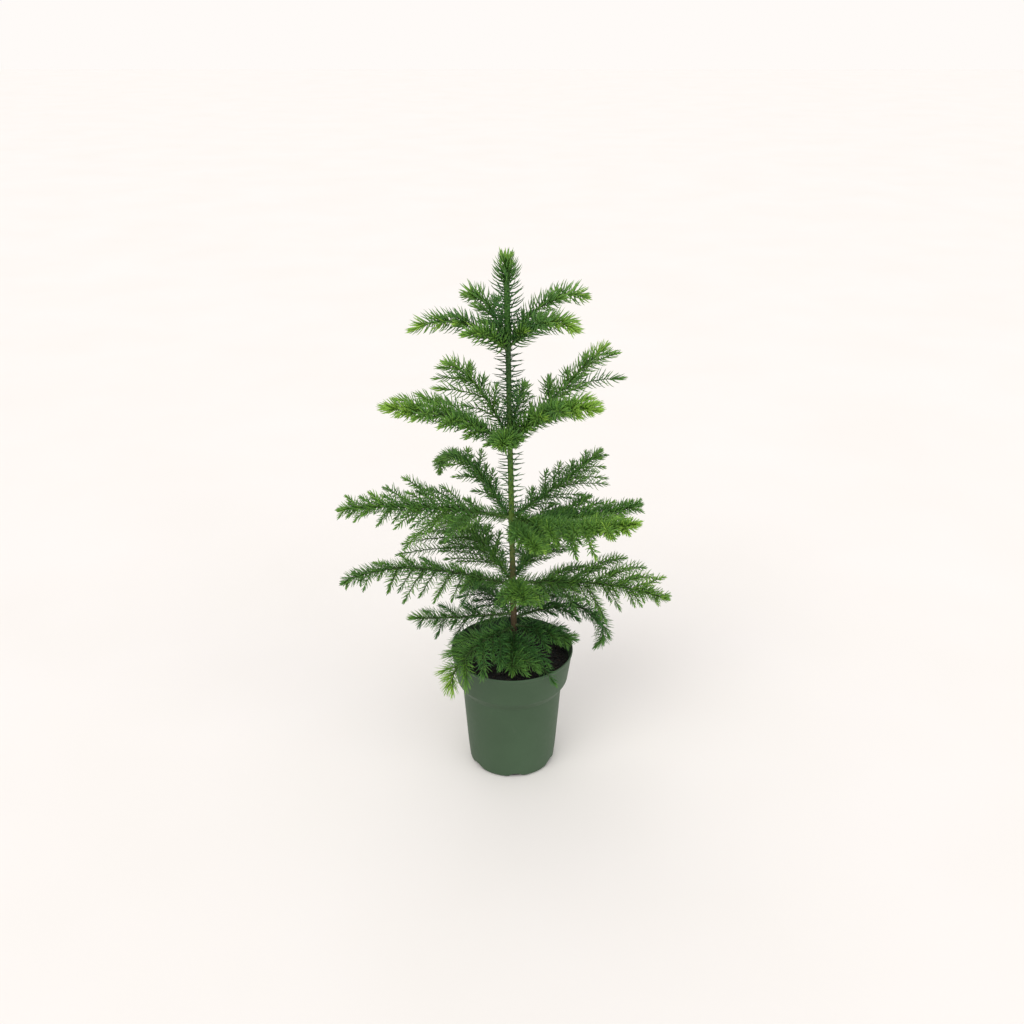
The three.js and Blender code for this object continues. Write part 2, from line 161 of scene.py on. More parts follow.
# The tiers, from the youngest at the top down.
TIERS = {
    "a": Tier(546, 1.5, 0, 4, 26, 0, 0.75, Needles(18, 1.5, 1.1, 0.57, 0.88, 0.62, 1), [
        Limb(188, 108, 35, -26, bright=0.1),
        Limb(124, 106, 54, -20, spread=1.2),
        Limb(42, 132, 41, -28),
        Limb(-22, 88, 50, -22, spread=1.6, narrow=-1, bright=0.15, fullness=1.2),
        Limb(-140, 66, 44, 0, lower=6, spread=0.8),
    ]),
    "b": Tier(434, 1.6, 0.12, 8, 46, 0, 1.1, Needles(17, 2.2, 1.2, 0.59, 0.86, 0.6, 1), [
        Limb(195, 152, 33, 4, lower=8, spread=1.2, narrow=-1, bright=0.15),
        Limb(130, 143, 50, -6, bias=0.2, fullness=0.3),
        Limb(80, 104, 26, 6, spread=0.5, bright=-0.1, fullness=0),
        Limb(44, 178, 28, 25, lift=4, spread=1.4, bias=-0.25, fullness=0.4),
        Limb(-25, 117, 42, 0, spread=1.15, narrow=-1, bright=0.2, fullness=1.2),
        Limb(-100, 62, 24, 0, spread=0.6, bright=-0.12),
    ]),
    "c": Tier(332, 1.6, 0.14, 10, 66, -4, 2.4, Needles(12, 3, 1.15, 0.61, 0.72, 0.45, 1), [
        Limb(182, 203, 11, -8, lift=2, spread=1.2, roll=-18, narrow=1, bright=0.05),
        Limb(130, 175, 39, -84, hold=2.6, spread=0.6, bright=0.05, fullness=0.8),
        Limb(40, 152, 16, 22, lift=4, spread=0.95, bias=-0.15, fullness=0.5),
        Limb(8, 156, 0, 12, roll=8, bright=0.04),
        Limb(-36, 175, -3, 26, hold=0.8, bias=-0.1, narrow=-0.6, bright=0.27, fullness=1.2),
        Limb(-72, 96, 10, 0, lower=6, spread=0.6, bias=0.2, bright=0.1),
    ]),
    # Tier d's needle tones are lighter than those of the tiers above it. This is partly the
    # needles' own colour and partly painted light, lifting the shade that tier c casts on them.
    "d": Tier(249, 1.6, 0.14, 10, 64, -12, 2.2, Needles(12.5, 2.8, 1.1, 0.67, 0.7, 0.4, 0.92), [
        Limb(187, 212, 18, -31, hold=2.6, lower=9, spread=0.62, roll=-32, bias=0.3, narrow=-1),
        Limb(128, 150, 30, -12, lift=4, spread=1.35, bias=0.3),
        Limb(62, 170, 14, -4, lift=4),
        Limb(-5, 189, 6, -20, lift=-4, spread=1.25, roll=18, bias=0.32, bright=0.1),
        Limb(-78, 66, 12, -6, spread=0.7),
    ]),
    "e": Tier(200, 1.4, 0.14, 7, 50, -10, 1, Needles(16, 2.6, 1.5, 0.42, 0.58, 0.6, 0.66), [
        Limb(186, 124, -2, 4, spread=0.6, roll=-26, narrow=-1),
        Limb(118, 125, 8, -20),
        Limb(52, 130, 4, -20),
        Limb(6, 156, 17, -130, hold=2.3, spread=0.8),
        Limb(-14, 76, -4, -14, lower=16, spread=0.8),
        Limb(-92, 72, -4, -20, lower=20, lift=10, spread=1.1, bias=0.4, bright=0.12),
        Limb(-134, 126, 5, -68, hold=2.2, lower=16, spread=1.1, bias=0.2, bright=0.38),
    ]),
}

# Stretches of trunk between the tiers: from, to, needle length, needles a millimetre, tone.
TRUNK_RUNS = {
    "trunk_needles_upper": (446, 540, 17.5, 1.15, 0.30),
    "trunk_needles_middle": (342, 430, 15.5, 1.0, 0.42),
    "trunk_needles_lower": (258, 326, 13.5, 0.8, 0.34),
}

# ---- small helpers ----

SEEDS = {"trunk": 7, "boughs": 11, "leader": 3, "trunk needles": 5, "soil": 21, "chips": 31}

# About one full turn in radians, for what is drawn at random.
ROUND = 6.28
UP = np.array([0.0, 0.0, 1.0])


def lerp(low, high, share):
    return low + (high - low) * share


def direction(azimuth, elevation):
    """Unit vectors, one a row, for angles in degrees."""
    a, e = np.broadcast_arrays(np.radians(azimuth), np.radians(elevation))
    return np.stack([np.cos(e) * np.cos(a), np.cos(e) * np.sin(a), np.sin(e)], axis=-1)


def unit(vectors):
    return vectors / np.linalg.norm(vectors, axis=-1, keepdims=True)


def column(values):
    return np.asarray(values)[:, None]


def turns_round(sides):
    """Angles evenly round a circle."""
    return 2 * math.pi * np.arange(sides) / sides


def turned_away(turn, angle):
    """How far a turn is from an angle, the shorter way round."""
    return (turn - angle + math.pi) % (2 * math.pi) - math.pi


def place_object(name, data):
    made = bpy.data.objects.new(name, data)
    bpy.context.scene.collection.objects.link(made)
    return made


def seeded(seed):
    """The solids' own random numbers, so that twigs fall in the same places."""
    state = seed

    def draw():
        nonlocal state
        state = (state * 1664525 + 1013904223) % 4294967296
        return state / 4294967296

    return draw


def linear(red, green, blue):
    """A screen colour, from 0 to 255 a channel, as Blender's linear colour."""
    shares = [c / 255 for c in (red, green, blue)]
    return tuple(s / 12.92 if s <= 0.04045 else ((s + 0.055) / 1.055) ** 2.4 for s in shares)


def trunk_at(height):
    """The middle of the trunk at each height."""
    share = (height - SOIL_LEVEL) / (TRUNK_TOP_HEIGHT - SOIL_LEVEL)
    x = lerp(TRUNK_BASE[0], TRUNK_TOP[0], share)
    y = lerp(TRUNK_BASE[1], TRUNK_TOP[1], share)
    return np.stack([x, y, np.broadcast_to(height, np.shape(x))], axis=-1).astype(float)


def trunk_radius(height):
    """The trunk's radius at each height: taper, root flare and a swelling at each tier."""
    share = (height - SOIL_LEVEL) / (TRUNK_TOP_HEIGHT - SOIL_LEVEL)
    flare = np.maximum(0, 1 - (height - SOIL_LEVEL) / FLARE_HEIGHT)
    swell = np.zeros(np.shape(height))
    for tier in TIERS.values():
        away = (height - tier.height) / KNOT_REACH
        swell = np.maximum(swell, KNOT_SWELL * np.maximum(0, 1 - away**2))
    plain = lerp(RADIUS_AT_SOIL, RADIUS_AT_TOP, share)
    return plain + (FLARE_RADIUS - RADIUS_AT_SOIL) * flare**2 + swell


def trunk_ways(points):
    """The way up the trunk and the way to its side, at each of its points."""
    way = unit(points[-1] - points[0])
    side = unit(np.cross(way, (0, 1, 0)))
    return np.broadcast_to(way, points.shape), np.broadcast_to(side, points.shape)


# ---- meshes made of many parts ----


class Pile:
    """Parts of one mesh: vertices, faces and the material of each face."""

    def __init__(self):
        self.vertices = []
        self.faces = []
        self.materials = []
        self.start = 0
        self.count = 0

    def add(self, vertices, faces, material=0):
        """One material for all of the faces, or one for each."""
        self.start = self.count
        self.vertices.append(vertices.reshape(-1, 3))
        self.count += vertices.size // 3
        self.add_faces(faces, material)

    def add_faces(self, faces, material=0):
        """More faces between the vertices added last, all with as many corners."""
        self.faces.extend((np.asarray(faces) + self.start).tolist())
        self.materials.append(np.broadcast_to(material, len(faces)))

    def mesh(self, name):
        made = bpy.data.meshes.new(name)
        made.from_pydata(np.concatenate(self.vertices) * MM, [], self.faces)
        return made

    def make(self, name, materials, slot, replaced=()):
        """The piece of the scene, which stands for the solids named in "replaced"."""
        mesh = self.mesh(name)
        for material in materials:
            mesh.materials.append(material)
        numbers = np.concatenate(self.materials).astype(np.int32)
        mesh.polygons.foreach_set("material_index", numbers)
        mesh.polygons.foreach_set("use_smooth", np.ones(len(self.faces), bool))
        mesh.update()
        piece = place_object(name, mesh)
        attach(piece, "root")
        if replaced:
            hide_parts(*replaced)
        return piece


def tube_walls(rings, sides):
    """Faces between rings of corners."""
    low = sides * column(np.arange(rings - 1)) + np.arange(sides)
    low_after = sides * column(np.arange(rings - 1)) + (np.arange(sides) + 1) % sides
    walls = np.stack([low, low_after, low_after + sides, low + sides], axis=-1)
    return walls.reshape(-1, 4)


def add_tube(pile, points, side, up, radii, sides):
    """A tube round the points. "radii" has one number for each point, or one for each corner."""
    turn = turns_round(sides)
    out = side[:, None] * column(np.cos(turn)) + up[:, None] * column(np.sin(turn))
    reach = radii[:, None, None] if radii.ndim == 1 else radii[:, :, None]
    rings = points[:, None] + out * reach
    pile.add(rings, tube_walls(len(points), sides))
    corner = np.arange(sides)
    pile.add_faces([corner[::-1], (len(points) - 1) * sides + corner])


# ---- shoots ----

# Near the trunk a branch bears no needles for this far.
BARE_FOOT = 5

# A branch of no fullness still has this share of its needles.
LEAST_COVER = 0.5

# Finer twigs reach closer to the foot and to the tip, crowd at the foot, and are shorter.
FINER_FIRST = 0.17
FINER_LAST = 0.98
FINER_CROWDING = 1.3
FINER_VARIETY = (0.3, 0.85)

# A twig's radius at its foot and tip, and how far it bends forward on its way, in degrees.
TWIG_FOOT_RADIUS = 0.8 * TWIG_STEM
TWIG_TIP_RADIUS = 0.4 * TWIG_FOOT_RADIUS
TWIG_SWEEP = 14

# Twigs are this much darker than their branch at its foot and gain this much towards its tip.
TWIG_DARKER = 0.04
TWIG_LIGHTENING = 0.1
TWIG_TIP_DARKER = 0.12
TWIG_NEEDLE_SHARE = 0.92

# How near a needle or twig may come to the pot and to the uneven soil.
NEAR_POT = 0.4
NEAR_SOIL = 1.2


@dataclass
class Looks:
    """A shoot's needles: their length, how many stand on a millimetre, the tone of the old and
    of the youngest, the length of those at its tip as a share, and how far down they are young.
    They stand from "first" on, a share of the shoot, and "tuft" more at its tip. They lean by
    "lean" degrees and bend back by "curl", each at the tip and further down, and close up over
    the last "closing" needle lengths."""

    needle: float
    density: float
    tone: float
    tip_tone: float
    tip_share: float = 0.8
    young: float = 30
    first: float = 0
    tuft: int = 3
    lean: tuple = (8, 72)
    curl: tuple = (2, 30)
    closing: float = 1


class Shoot:
    """A line that needles stand on. "shade" is added to the tone of them all."""

    def __init__(self, points, ahead, side, radii, looks):
        self.points = points
        self.ahead = ahead
        self.side = side
        self.up = np.cross(side, ahead)
        self.radii = radii
        steps = np.linalg.norm(np.diff(points, axis=0), axis=1)
        self.along = np.concatenate([[0], np.cumsum(steps)])
        self.length = self.along[-1]
        self.looks = looks
        self.shade = 0.0

    def at(self, distances):
        """Place, way ahead, side, up and radius at each distance along the shoot."""

        def between(rows):
            return np.stack([np.interp(distances, self.along, r) for r in rows.T], axis=1)

        radius = np.interp(distances, self.along, self.radii)
        ways = unit(between(self.ahead)), unit(between(self.side)), unit(between(self.up))
        return between(self.points), *ways, radius


def shoot_along(root, limb, start_radius, end_radius, looks, sweep=0.0):
    """The shoot of a limb. "sweep" turns it sideways on its way, in degrees."""
    steps = max(3, math.ceil(limb.length / STRIDE))
    along = np.linspace(0, limb.length, steps + 1)
    middle = (along[:-1] + along[1:]) / 2
    azimuth = limb.azimuth + sweep * middle / limb.length
    strides = direction(azimuth, limb.elevation(middle)) * (limb.length / steps)
    points = root + np.vstack([np.zeros(3), np.cumsum(strides, axis=0)])
    heading = limb.azimuth + sweep * along / limb.length
    ahead = direction(heading, limb.elevation(along))
    side = direction(heading - 90, 0)
    radii = lerp(start_radius, end_radius, along / limb.length)
    return Shoot(points, ahead, side, radii, looks)


def trunk_shoot(low, high, looks):
    """A stretch of the trunk, as a shoot."""
    heights = np.linspace(low, high, max(3, round((high - low) / STRIDE)))
    points = trunk_at(heights)
    ahead, side = trunk_ways(points)
    return Shoot(points, ahead, side, trunk_radius(heights), looks)


def twig_share(place, narrow):
    """A twig's length as a share of the longest, by its place along the branch."""
    place = min(max(place, TWIG_FIRST), TWIG_LAST)
    if place < TWIG_LONGEST_AT:
        return lerp(TWIG_FIRST_SHARE, 1, (place - TWIG_FIRST) / (TWIG_LONGEST_AT - TWIG_FIRST))
    outward = (place - TWIG_LONGEST_AT) / (TWIG_LAST - TWIG_LONGEST_AT)
    return lerp(1, TWIG_LAST_SHARE, outward ** lerp(1, NARROW_POWER, narrow))


def twig_limbs(tier, limb, number):
    """Place on the branch, hand (1 is left and -1 right) and limb of each of its twigs. The
    solids' own come first, by the same rule and seed, and then the finer ones."""
    random = seeded(number)
    limbs = []

    def add_twig(place, hand, shortest, longest):
        scatter = lerp(-TWIG_SCATTER, TWIG_SCATTER, random())
        variety = lerp(shortest, longest, random())
        slope = TWIG_FOLLOW * limb.elevation(place * limb.length)
        level = slope + tier.droop + limb.lift + hand * limb.roll + scatter
        spread = limb.spread * (1 + hand * limb.bias)
        length = tier.twig_length * spread * twig_share(place, limb.narrow) * variety
        azimuth = limb.azimuth + hand * TWIG_FORWARD
        twig = Limb(azimuth, length, level + TWIG_BEND, level - TWIG_BEND, hold=1)
        limbs.append((place, hand, twig))

    for i in range(tier.twigs):
        place = lerp(TWIG_FIRST, TWIG_LAST, i / (tier.twigs - 1))
        add_twig(place, 1 if i % 2 == 0 else -1, 1 - TWIG_VARIETY, 1 + TWIG_VARIETY)
    finer = round(tier.finer * limb.fullness * tier.twigs)
    for i in range(finer):
        share = ((i + random()) / finer) ** FINER_CROWDING
        place = lerp(FINER_FIRST, FINER_LAST, share)
        add_twig(place, -1 if i % 2 == 0 else 1, *FINER_VARIETY)
    return limbs


def branch_shoots(tier, limb, index, number):
    """The stem of a branch and then its twigs that wouldn't touch the pot or the soil."""
    last = len(tier.branches) - 1
    shift = 0 if index == last else BOUGH_STAGGER * (1 if index % 2 == 0 else -1)
    root = trunk_at(tier.height + shift - limb.lower)
    needles = tier.needles
    tip_tone = needles.tip_tone + limb.bright
    tip_share = needles.tip_share + limb.bright
    cover = lerp(LEAST_COVER, 1, limb.fullness)
    looks = Looks(
        needles.length, cover * needles.on_stem, needles.tone, tip_tone, tip_share,
        first=BARE_FOOT / limb.length,
    )
    stem = shoot_along(
        root, limb, tier.stem + BOUGH_THICKER, tier.stem * SHOOT_THINNING, looks
    )
    shoots = [stem]
    for place, hand, twig in twig_limbs(tier, limb, number):
        foot = stem.at([place * stem.length])[0][0]
        tone = needles.tone + TWIG_LIGHTENING * place - TWIG_DARKER + limb.bright * place**2
        twig_tip_tone = lerp(needles.tip_tone - TWIG_TIP_DARKER, tip_tone, place)
        looks = Looks(
            TWIG_NEEDLE_SHARE * needles.length, cover * needles.on_twig, tone, twig_tip_tone,
            tip_share, young=14, first=0.03, tuft=0, closing=1.4,
        )
        shoot = shoot_along(
            foot, twig, TWIG_FOOT_RADIUS, TWIG_TIP_RADIUS, looks, -hand * TWIG_SWEEP
        )
        if not hits_pot(shoot.points).any():
            shoots.append(shoot)
    return shoots


def hits_pot(points):
    """Which points lie in the pot's wall or in its soil, or nearly so."""
    reach = np.hypot(points[..., 0], points[..., 1])
    height = points[..., 2]
    inside = inside_radius(height)
    into_wall = np.abs(reach - inside - POT_WALL / 2) - POT_WALL / 2
    in_wall = (height < POT_HEIGHT + NEAR_POT) & (into_wall < NEAR_POT)
    in_soil = (height < SOIL_LEVEL + NEAR_SOIL) & (reach < inside)
    return in_wall | in_soil


# ---- needles ----

# Each needle stands at this turn round the shoot from the one before.
NEEDLE_TURN = math.radians(137.508)

# A shoot's fewest needles, the part of its own stretch that each stands in, and how far down
# from the tip a tuft's needles stand.
FEWEST_NEEDLES = 6
STRETCH_PART = (0.35, 0.65)
TUFT_LENGTH = 4

# A needle is a three-cornered spike: rings of corners and then its point, at these shares of
# its length. The rings have these shares of its width.
RING_PLACES = (0.0, 0.4, 0.78, 1.0)
RING_WIDTHS = (0.9, 1.0, 0.68)
CORNER_TURNS = np.radians([90, 210, 330])
NEEDLE_CORNERS = 10
NEEDLE_FLATNESS = 0.7

# Half of a needle's width, and how much its length adds to that.
NEEDLE_WIDTH = 0.5
WIDTH_BY_LENGTH = 0.024

# A needle starts inside the shoot, at this share of its radius.
NEEDLE_FOOT = 0.6

# Needles turn towards the light, and bend up by a share of their length.
NEEDLE_RISE = 0.16
NEEDLE_UPSWEEP = 0.05

# How much needles differ, in radians, degrees, shares and tone, and then whole shoots.
TURN_SCATTER = 0.14
LEAN_SCATTER = 4
LENGTH_VARIETY = (0.84, 1.12)
WIDTH_VARIETY = (0.88, 1.12)
TONE_SCATTER = 0.05
SPRAY_SCATTER = 0.045

# The palette of the needles, from the deepest to the youngest, and the tones between them. Their
# greens are the needles' own, and their blue is raised a little as a painted sheen: the pale
# surroundings reflected in the waxy needles.
PALETTE = {
    "needle_shade": (34, 64, 34),
    "needle_deep": (48, 90, 44),
    "needle_mature": (66, 114, 54),
    "needle_green": (88, 134, 60),
    "needle_fresh": (109, 155, 62),
    "needle_lime": (146, 188, 74),
}
TONE_STEPS = (0.24, 0.38, 0.52, 0.68, 0.84)


def needle_faces():
    """The end of a needle's foot, its walls from ring to ring, and its point."""
    faces = [[0, 2, 1]]
    for ring in (0, 3):
        for k in range(3):
            a = ring + k
            b = ring + (k + 1) % 3
            faces += [[a, b, b + 3], [a, b + 3, a + 3]]
    faces += [[6, 7, 9], [7, 8, 9], [8, 6, 9]]
    return np.array(faces)


NEEDLE_FACES = needle_faces()


def place_needles(shoot, random):
    """Distances along a shoot where its needles stand."""
    looks = shoot.looks
    start = looks.first * shoot.length
    count = max(FEWEST_NEEDLES, round(looks.density * (shoot.length - start)))
    share = (np.arange(count) + random.uniform(*STRETCH_PART, count)) / count
    along = start + share * (shoot.length - start)
    tuft = shoot.length - random.uniform(0, TUFT_LENGTH, looks.tuft)
    return np.sort(np.concatenate([along, tuft]))


def needle_way(place, foot_lean, tip_lean, ahead, out):
    """The way that needles point at a share of their length."""
    lean = np.radians(lerp(foot_lean, tip_lean, place))
    return column(np.cos(lean)) * ahead + column(np.sin(lean)) * out


def needle_corners(centre, ahead, out, foot_lean, tip_lean, length, width):
    """The corners of each needle, ring by ring from its foot's centre, and then its point."""
    across = np.cross(ahead, out)
    corners = np.empty((len(centre), NEEDLE_CORNERS, 3))
    upsweep = column(NEEDLE_UPSWEEP * length) * UP
    rings = zip(RING_PLACES, RING_PLACES[1:], RING_WIDTHS)
    for ring, (place, following, thickness) in enumerate(rings):
        way = needle_way(place, foot_lean, tip_lean, ahead, out)
        normal = np.cross(way, across)
        for k, corner in enumerate(CORNER_TURNS):
            wide = column(width * thickness * np.cos(corner)) * across
            deep = column(width * thickness * NEEDLE_FLATNESS * np.sin(corner)) * normal
            corners[:, 3 * ring + k] = centre + wide + deep
        middle = needle_way((place + following) / 2, foot_lean, tip_lean, ahead, out)
        centre = centre + middle * column(length * (following - place)) + upsweep * following**2
    corners[:, -1] = centre
    return corners


def add_needles(pile, shoot, random, width_scale=1.0):
    """The needles of a shoot that wouldn't touch the pot or the soil."""
    looks = shoot.looks
    along = place_needles(shoot, random)
    count = len(along)
    foot, ahead, side, up, radius = shoot.at(along)
    turn = NEEDLE_TURN * np.arange(count) + random.uniform(0, ROUND)
    turn = turn + random.normal(0, TURN_SCATTER, count)
    out = unit(column(np.cos(turn)) * side + column(np.sin(turn)) * up + NEEDLE_RISE * UP)
    out = unit(out - column(np.sum(out * ahead, axis=1)) * ahead)

    # Near the tip of a shoot the needles are shorter and lie closer to its line.
    from_tip = shoot.length - along
    opened = np.ones(count)
    if looks.closing:
        opened = np.clip(from_tip / (looks.closing * looks.needle), 0, 1)
    foot_lean = lerp(*looks.lean, opened) + random.normal(0, LEAN_SCATTER, count)
    tip_lean = foot_lean - lerp(*looks.curl, opened) + random.normal(0, LEAN_SCATTER, count)
    share = lerp(looks.tip_share, 1.0, opened)
    length = looks.needle * share * random.uniform(*LENGTH_VARIETY, count)
    plain_width = width_scale * (NEEDLE_WIDTH + WIDTH_BY_LENGTH * looks.needle)
    width = plain_width * random.uniform(*WIDTH_VARIETY, count)
    centre = foot + out * column(NEEDLE_FOOT * radius)
    corners = needle_corners(centre, ahead, out, foot_lean, tip_lean, length, width)

    youth = np.exp(-from_tip / looks.young)
    tone = lerp(looks.tone, looks.tip_tone, youth) + random.normal(0, TONE_SCATTER, count)
    tone = tone + shoot.shade
    material = np.digitize(tone, TONE_STEPS)
    kept = ~hits_pot(corners).any(axis=1)
    faces = NEEDLE_FACES[None] + NEEDLE_CORNERS * np.arange(kept.sum())[:, None, None]
    pile.add(corners[kept], faces.reshape(-1, 3), np.repeat(material[kept], len(NEEDLE_FACES)))


# ---- materials ----

# Nearly all of a noise lies between these.
NOISE_LOW = 0.3
NOISE_HIGH = 0.7


class Nodes:
    """One material, with short ways to add and join its nodes."""

    def __init__(self, name):
        self.material = bpy.data.materials.new(name)
        self.material.use_nodes = True
        self.tree = self.material.node_tree
        self.tree.nodes.clear()
        self.shader = self.add("ShaderNodeBsdfPrincipled")
        output = self.add("ShaderNodeOutputMaterial")
        self.join(self.shader, "BSDF", output, "Surface")
        self.place = self.add("ShaderNodeTexCoord")

    def add(self, kind, inputs=(), **settings):
        node = self.tree.nodes.new(kind)
        for key, value in settings.items():
            setattr(node, key, value)
        for socket, value in dict(inputs).items():
            node.inputs[socket].default_value = value
        return node

    def join(self, giver, output, taker, socket):
        self.tree.links.new(giver.outputs[output], taker.inputs[socket])

    def set(self, socket, number):
        """A number that is the same all over the surface."""
        self.shader.inputs[socket].default_value = number

    def noise(self, scale, detail, roughness=0.55):
        inputs = {"Scale": scale, "Detail": detail, "Roughness": roughness}
        node = self.add("ShaderNodeTexNoise", inputs)
        self.join(self.place, "Object", node, "Vector")
        return node

    def ramp(self, giver, output, stops):
        """Colours by a value: "stops" is a row of (place, colour)."""
        node = self.add("ShaderNodeValToRGB")
        elements = node.color_ramp.elements
        while len(elements) < len(stops):
            elements.new(0.5)
        for element, (place, colour) in zip(elements, stops):
            element.position = place
            element.color = (*colour, 1)
        self.join(giver, output, node, "Fac")
        return node

    def range(self, giver, output, low, high, to_low, to_high):
        """A value moved from one range to another."""
        inputs = {"From Min": low, "From Max": high, "To Min": to_low, "To Max": to_high}
        node = self.add("ShaderNodeMapRange", inputs)
        self.join(giver, output, node, "Value")
        return node

    def colour(self, noise, stops):
        """The base colour by a noise."""
        node = self.ramp(noise, "Fac", stops)
        self.join(node, "Color", self.shader, "Base Color")

    def roughness(self, noise, to_low, to_high, high=NOISE_HIGH):
        """The roughness by a noise, from "to_low" where it is low to "to_high"."""
        node = self.range(noise, "Fac", NOISE_LOW, high, to_low, to_high)
        self.join(node, "Result", self.shader, "Roughness")

    def bump(self, noise, strength, distance):
        node = self.add("ShaderNodeBump", {"Strength": strength, "Distance": distance})
        self.join(noise, "Fac", node, "Height")
        self.join(node, "Normal", self.shader, "Normal")


def needle_material(name, colour):
    """Waxy needle: one colour, a little lighter and darker in places."""
    nodes = Nodes(name)
    base = np.array(linear(*colour))
    grain = nodes.noise(220, detail=2)
    nodes.colour(grain, [(NOISE_LOW, tuple(base * 0.82)), (NOISE_HIGH, tuple(base * 1.18))])
    nodes.roughness(grain, 0.42, 0.56)
    nodes.set("Specular IOR Level", 0.35)
    return nodes.material


def twig_material(name, young, old):
    """Thin green bark with lighter flecks."""
    nodes = Nodes(name)
    flecks = nodes.noise(700, detail=3)
    nodes.colour(flecks, [(0.35, linear(*old)), (0.65, linear(*young))])
    nodes.set("Roughness", 0.62)
    nodes.bump(flecks, strength=0.5, distance=0.0003)
    return nodes.material


# How far the cracks darken the bark.
CRACK_DEPTH = 0.8


def trunk_material():
    """Brown at the soil, then olive, green, and deep green near the top, finely cracked."""
    nodes = Nodes("trunk_bark")
    split = nodes.add("ShaderNodeSeparateXYZ")
    nodes.join(nodes.place, "Object", split, "Vector")
    height = nodes.range(split, "Z", SOIL_LEVEL * MM, TRUNK_TOP_HEIGHT * MM, 0, 1)
    blotches = nodes.noise(90, detail=5)
    shift = nodes.range(blotches, "Fac", NOISE_LOW, NOISE_HIGH, -0.06, 0.06)
    added = nodes.add("ShaderNodeMath", operation="ADD")
    nodes.join(height, "Result", added, 0)
    nodes.join(shift, "Result", added, 1)
    tint = nodes.ramp(added, "Value", [
        (0.0, linear(84, 64, 46)),
        (0.14, linear(88, 74, 46)),
        (0.26, linear(84, 88, 42)),
        (0.40, linear(94, 124, 40)),
        (0.58, linear(78, 114, 36)),
        (0.78, linear(46, 84, 30)),
        (1.0, linear(52, 92, 32)),
    ])
    fibres = nodes.noise(900, detail=6, roughness=0.65)
    dark = nodes.ramp(fibres, "Fac", [(0.32, (0.45, 0.45, 0.45)), (0.62, (1.1, 1.1, 1.1))])
    mixed = nodes.add("ShaderNodeMix", data_type="RGBA", blend_type="MULTIPLY")
    mixed.inputs["Factor"].default_value = CRACK_DEPTH
    nodes.join(tint, "Color", mixed, "A")
    nodes.join(dark, "Color", mixed, "B")
    nodes.join(mixed, "Result", nodes.shader, "Base Color")
    nodes.roughness(fibres, 0.85, 0.6)
    nodes.bump(fibres, strength=0.6, distance=0.0006)
    return nodes.material


def pot_material():
    """Thin moulded plastic, satin, a little cloudy and dusty, with a fine grain."""
    nodes = Nodes("pot_plastic")
    cloud = nodes.noise(9, detail=3)
    tint = nodes.ramp(
        cloud, "Fac", [(NOISE_LOW, linear(58, 80, 57)), (NOISE_HIGH, linear(66, 89, 65))]
    )
    dust = nodes.noise(140, detail=6, roughness=0.7)
    film = nodes.ramp(dust, "Fac", [(0.55, (0, 0, 0)), (0.8, (0.16, 0.16, 0.16))])
    mixed = nodes.add("ShaderNodeMix", data_type="RGBA", blend_type="MIX")
    nodes.join(film, "Color", mixed, "Factor")
    nodes.join(tint, "Color", mixed, "A")
    mixed.inputs["B"].default_value = (*linear(100, 112, 94), 1)
    nodes.join(mixed, "Result", nodes.shader, "Base Color")
    nodes.roughness(dust, 0.48, 0.62, high=0.75)
    nodes.set("Specular IOR Level", 0.28)
    nodes.bump(nodes.noise(420, detail=3), strength=0.12, distance=0.0004)
    return nodes.material


def soil_material(name, dark, light, scale):
    """Rough crumbs, dark in their gaps."""
    nodes = Nodes(name)
    crumbs = nodes.noise(scale, detail=8, roughness=0.7)
    nodes.colour(crumbs, [(0.38, linear(*dark)), (0.66, linear(*light))])
    nodes.roughness(crumbs, 0.95, 0.75)
    nodes.bump(crumbs, strength=0.9, distance=0.0012)
    return nodes.material


def floor_material():
    """Pale matte cream."""
    nodes = Nodes("studio_floor")
    soft = nodes.noise(3, detail=2)
    nodes.colour(
        soft, [(NOISE_LOW, linear(237, 233, 230)), (NOISE_HIGH, linear(239, 235, 233))]
    )
    nodes.set("Roughness", 0.9)
    nodes.set("Specular IOR Level", 0.1)
    return nodes.material


# ---- camera and light ----

CAMERA_PLACE = (0, -1.190, 0.900)
CAMERA_PITCH = 25
LENS = 39.3
SENSOR_WIDTH = 36
FLOOR_REACH = 14

WORLD_COLOUR = (1, 0.985, 0.97, 1)
WORLD_STRENGTH = 0.72
BACKDROP = (255, 251, 248)

# Name, azimuth, elevation, strength, softness in degrees, and colour.
LIGHTS = (
    ("key", -120, 50, 1.1, 40, (1.0, 0.99, 0.96)),
    ("fill", -45, 25, 0.8, 60, (0.98, 0.99, 1.0)),
    ("back", 100, 55, 0.35, 40, (1.0, 1.0, 1.0)),
)


def make_camera():
    data = bpy.data.cameras.new("camera")
    data.sensor_width = SENSOR_WIDTH
    data.lens = LENS
    data.clip_start = 0.05
    data.clip_end = 60
    camera = place_object("camera", data)
    camera.location = CAMERA_PLACE
    camera.rotation_euler = (math.radians(90 - CAMERA_PITCH), 0, 0)
    bpy.context.scene.camera = camera


def make_sun(name, azimuth, elevation, strength, softness, colour):
    """A broad soft light from far away."""
    data = bpy.data.lights.new(name, "SUN")
    data.energy = strength
    data.angle = math.radians(softness)
    data.color = colour
    way = Vector(direction(azimuth, elevation).tolist())
    place_object(name, data).rotation_euler = way.to_track_quat("Z", "Y").to_euler()


